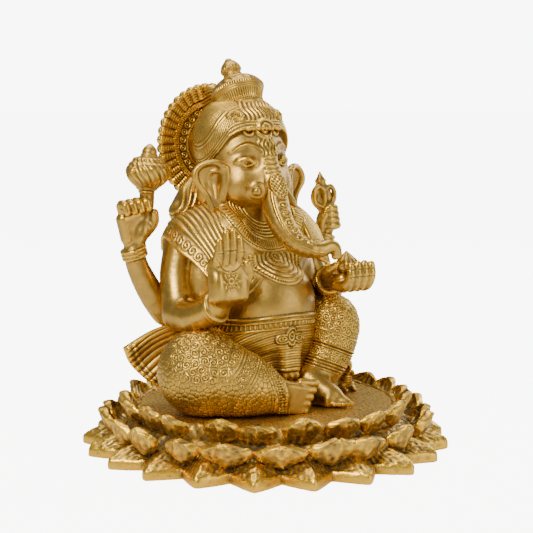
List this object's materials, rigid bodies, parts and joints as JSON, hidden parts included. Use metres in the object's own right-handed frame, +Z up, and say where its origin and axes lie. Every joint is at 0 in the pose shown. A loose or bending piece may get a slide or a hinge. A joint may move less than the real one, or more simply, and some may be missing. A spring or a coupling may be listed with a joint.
{
  "type": "ganesha idol",
  "caption": "Seated elephant-headed devotional idol of cast brass with a round halo, on a raised dish of lotus petals",
  "frame": {"origin": "middle of the lotus base's underside, on the plane it stands on", "axes": "+Z up, the figure faces -Y, +X is the figure's left side"},
  "size_m": [0.2984, 0.2992, 0.3165],
  "materials": {
    "cast_brass": "satin cast brass with brown patina in the recesses",
    "lotus_brass": "satin cast brass, finely textured",
    "fixing_steel": "bright zinc-plated steel"
  },
  "bodies": {
    "root": {"body": "cast_brass", "crown": "cast_brass", "crown_finial": "cast_brass", "figure_studs": "fixing_steel", "front_left_arm": "cast_brass", "front_right_arm": "cast_brass", "goad": "cast_brass", "halo": "cast_brass", "halo_strut": "cast_brass", "head": "cast_brass", "left_ear": "cast_brass", "left_leg": "cast_brass", "left_sash_tail": "cast_brass", "left_tusk": "cast_brass", "lotus_floor": "lotus_brass", "lotus_inner_ring": "lotus_brass", "lotus_middle_ring": "lotus_brass", "lotus_outer_ring": "lotus_brass", "mace": "cast_brass", "mouse": "cast_brass", "rear_left_arm": "cast_brass", "rear_right_arm": "cast_brass", "right_ear": "cast_brass", "right_leg": "cast_brass", "right_sash_tail": "cast_brass", "right_tusk": "cast_brass", "ring_nuts": "fixing_steel", "ring_screws": "fixing_steel", "stud_nuts": "fixing_steel", "stud_washers": "fixing_steel", "sweet": "cast_brass", "trunk": "cast_brass"}
  },
  "joints": []
}
